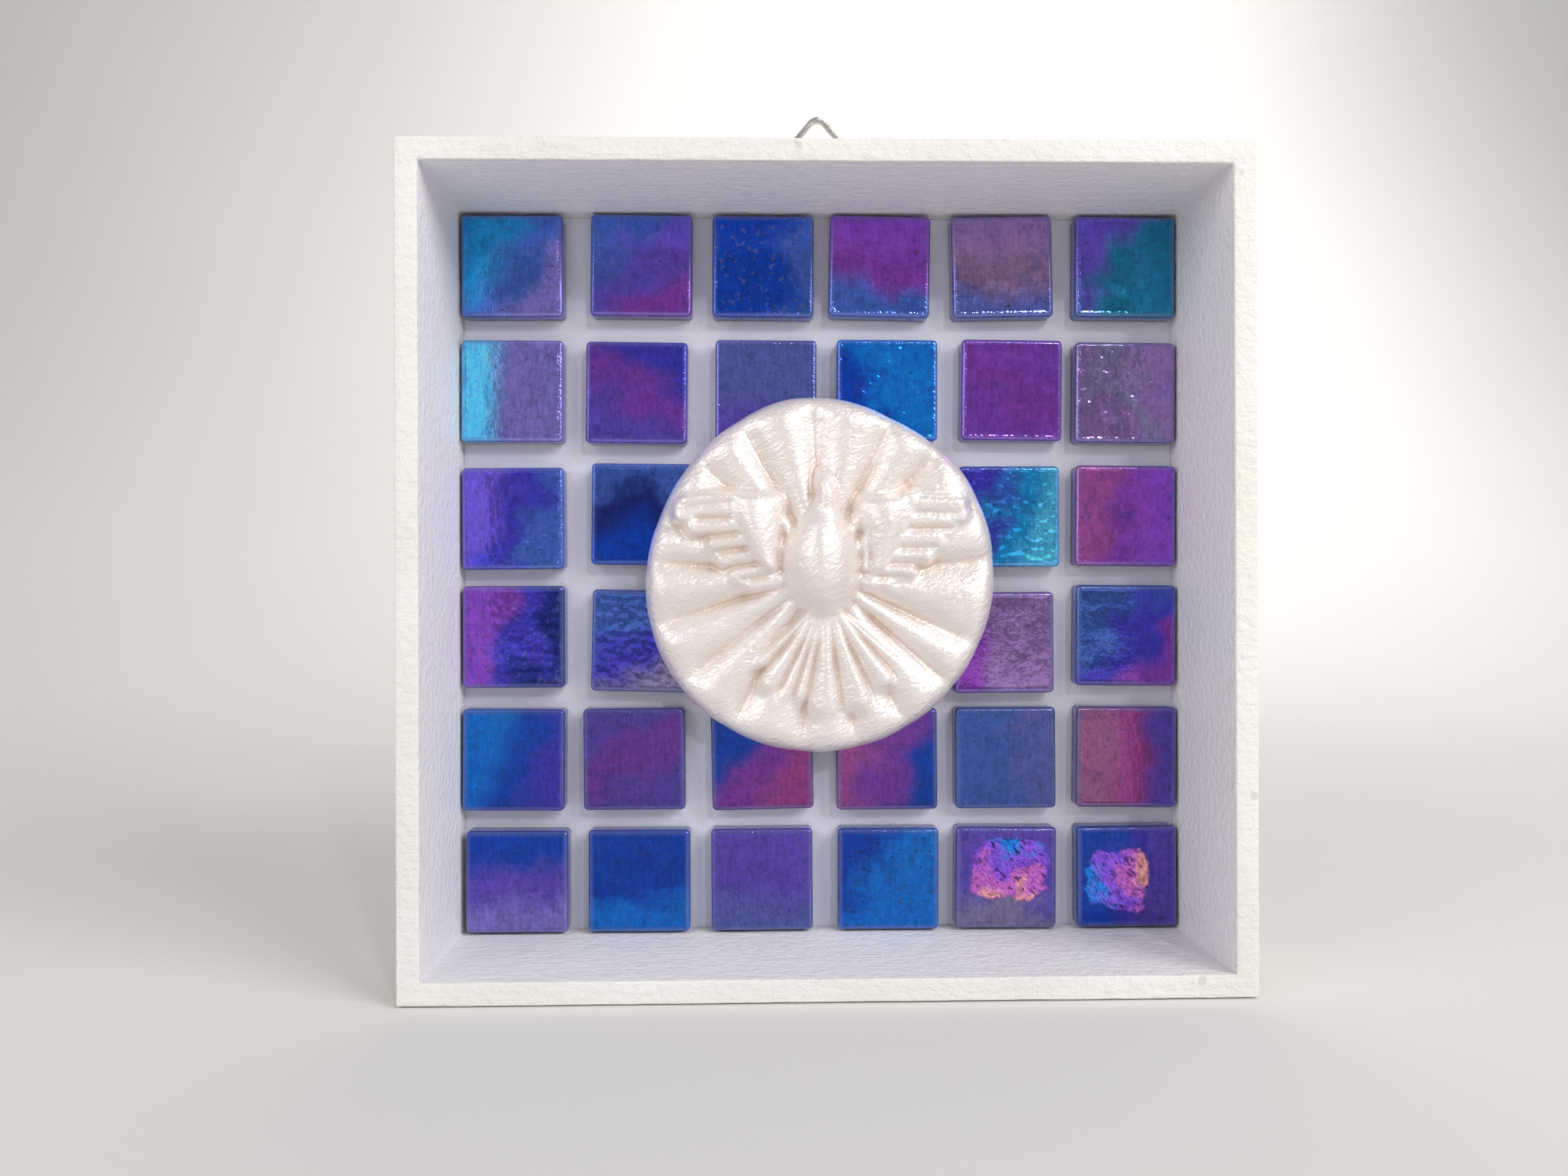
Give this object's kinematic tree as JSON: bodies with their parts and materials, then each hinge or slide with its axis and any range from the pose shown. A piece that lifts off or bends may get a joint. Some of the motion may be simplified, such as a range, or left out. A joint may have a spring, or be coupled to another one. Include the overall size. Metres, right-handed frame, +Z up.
{
  "type": "tile mosaic picture",
  "caption": "Square shadow-box wall picture with rows of iridescent blue and violet glass tiles, a round pearl-white dove medallion over the middle and a hanger on the back.",
  "frame": {"origin": "middle of the underside of the bottom wall, which the picture stands on", "axes": "front faces -Y, +X is to the viewer's right, +Z is up"},
  "size_m": [0.15, 0.0367, 0.1677],
  "materials": {
    "frame_paint": "satin",
    "board_paint": "satin",
    "tile_glass": "gloss",
    "pearl_glaze": "satin",
    "nickel": "polished"
  },
  "bodies": {
    "root": {"wall_top": "frame_paint", "wall_bottom": "frame_paint", "wall_left": "frame_paint", "wall_right": "frame_paint", "back_board": "board_paint", "tile_r1_c1": "tile_glass", "tile_r1_c2": "tile_glass", "tile_r1_c3": "tile_glass", "tile_r1_c4": "tile_glass", "tile_r1_c5": "tile_glass", "tile_r1_c6": "tile_glass", "tile_r2_c1": "tile_glass", "tile_r2_c2": "tile_glass", "tile_r2_c3": "tile_glass", "tile_r2_c4": "tile_glass", "tile_r2_c5": "tile_glass", "tile_r2_c6": "tile_glass", "tile_r3_c1": "tile_glass", "tile_r3_c2": "tile_glass", "tile_r3_c3": "tile_glass", "tile_r3_c4": "tile_glass", "tile_r3_c5": "tile_glass", "tile_r3_c6": "tile_glass", "tile_r4_c1": "tile_glass", "tile_r4_c2": "tile_glass", "tile_r4_c3": "tile_glass", "tile_r4_c4": "tile_glass", "tile_r4_c5": "tile_glass", "tile_r4_c6": "tile_glass", "tile_r5_c1": "tile_glass", "tile_r5_c2": "tile_glass", "tile_r5_c3": "tile_glass", "tile_r5_c4": "tile_glass", "tile_r5_c5": "tile_glass", "tile_r5_c6": "tile_glass", "tile_r6_c1": "tile_glass", "tile_r6_c2": "tile_glass", "tile_r6_c3": "tile_glass", "tile_r6_c4": "tile_glass", "tile_r6_c5": "tile_glass", "tile_r6_c6": "tile_glass", "dove_medallion": "pearl_glaze", "hanger_plate": "nickel", "hanger_nail_left": "nickel", "hanger_nail_right": "nickel"}
  },
  "joints": []
}
